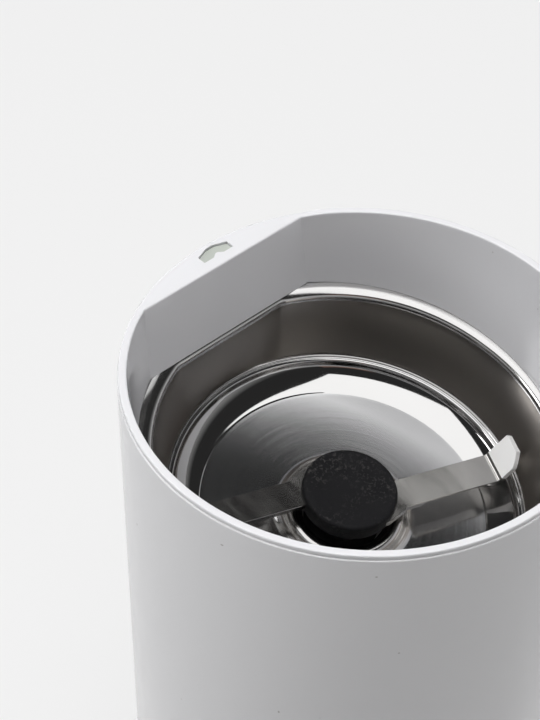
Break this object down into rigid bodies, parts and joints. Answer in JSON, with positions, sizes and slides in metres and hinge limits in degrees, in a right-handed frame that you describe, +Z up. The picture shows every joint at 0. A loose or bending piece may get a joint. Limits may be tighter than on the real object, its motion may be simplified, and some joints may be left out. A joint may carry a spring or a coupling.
{
  "type": "electric spice grinder",
  "caption": "Small upright electric spice grinder without its lid: round shell, leaning steel bowl with a stepped dish, Z-shaped blade, motor and lid interlock.",
  "frame": {"origin": "centre of the footprint, on the surface that the feet stand on", "axes": "+Z up, -Y the front, +Y the back, where the flat side of the mouth and the interlock slot are"},
  "size_m": [0.09, 0.09, 0.13],
  "materials": {
    "shell_white": "smooth gloss white",
    "base_white": "fine spark-eroded white",
    "bowl_steel": "drawn stainless steel, satin wall and polished dish",
    "blade_steel": "brushed along the blade, with a ground edge",
    "hub_black": "fine grained black",
    "black_rubber": "matt",
    "foot_rubber": "matt light grey",
    "chassis_plastic": "matt dark grey nylon",
    "zinc_steel": "zinc plated",
    "shaft_steel": "ground",
    "spring_steel": "drawn wire and strip",
    "cast_aluminium": "die cast",
    "core_laminations": "stacked electrical steel",
    "enamelled_wire": "varnished copper wire",
    "commutator_copper": "turned copper",
    "bearing_bronze": "sintered bronze and stamped brass",
    "brush_carbon": "pressed carbon",
    "rod_plastic": "pale greenish grey acetal",
    "switch_plastic": "black phenolic",
    "capacitor_case": "yellow box"
  },
  "bodies": {
    "base": {"outer_housing": "shell_white", "top_collar": "shell_white", "grinding_bowl": "bowl_steel", "bowl_gasket": "black_rubber", "inner_chassis": "chassis_plastic", "chassis_screws": "zinc_steel", "shaft_seal": "black_rubber", "motor_grommets": "black_rubber", "motor_screws": "zinc_steel", "upper_bracket": "cast_aluminium", "lower_bracket": "cast_aluminium", "bracket_bolts": "zinc_steel", "upper_bearing": "bearing_bronze", "lower_bearing": "bearing_bronze", "bearing_retainers": "zinc_steel", "stator_core": "core_laminations", "field_coils": "enamelled_wire", "brush_holders": "bearing_bronze", "carbon_brushes": "brush_carbon", "brush_springs": "spring_steel", "return_spring": "spring_steel", "switch_body": "switch_plastic", "switch_bracket": "chassis_plastic", "switch_screws": "zinc_steel", "base_plate": "base_white", "base_screws": "zinc_steel", "rubber_feet": "foot_rubber", "cord_gland": "foot_rubber", "cord_clamp": "chassis_plastic", "clamp_screws": "zinc_steel", "terminal_block": "rod_plastic", "suppression_capacitor": "capacitor_case"},
    "rotor": {"cutting_blade": "blade_steel", "blade_hub": "hub_black", "rotor_shaft": "shaft_steel", "thrust_washers": "switch_plastic", "rotor_core": "core_laminations", "rotor_winding": "enamelled_wire", "commutator": "commutator_copper", "cooling_fan": "chassis_plastic"},
    "rod": {"interlock_rod": "rod_plastic"},
    "lever": {"switch_lever": "spring_steel"},
    "plunger": {"switch_plunger": "rod_plastic"}
  },
  "joints": [
    {"name": "rotor_spin", "type": "hinge", "parent": "base", "child": "rotor", "pos_m": [0, -0.00472, 0.13], "axis": [0, -0.1822, 0.9833], "continuous": true},
    {"name": "rod_slide", "type": "slide", "parent": "base", "child": "rod", "axis": [0, 0, -1], "range_m": [0, 0.003], "stiffness_N_per_m": 300, "springref_m": -0.003, "deforming": ["return_spring"]},
    {"name": "lever_turn", "type": "hinge", "parent": "base", "child": "lever", "pos_m": [-0.008, 0.036, 0.0772], "axis": [0, 1, 0], "range_deg": [0, 14.5]},
    {"name": "plunger_slide", "type": "slide", "parent": "base", "child": "plunger", "axis": [0, 0, -1], "range_m": [0, 0.0016]}
  ],
  "couplings": [
    {"joint": "lever_turn", "follows": "rod_slide", "rad_per_m": 83.2},
    {"joint": "plunger_slide", "follows": "rod_slide", "ratio": 0.5}
  ]
}
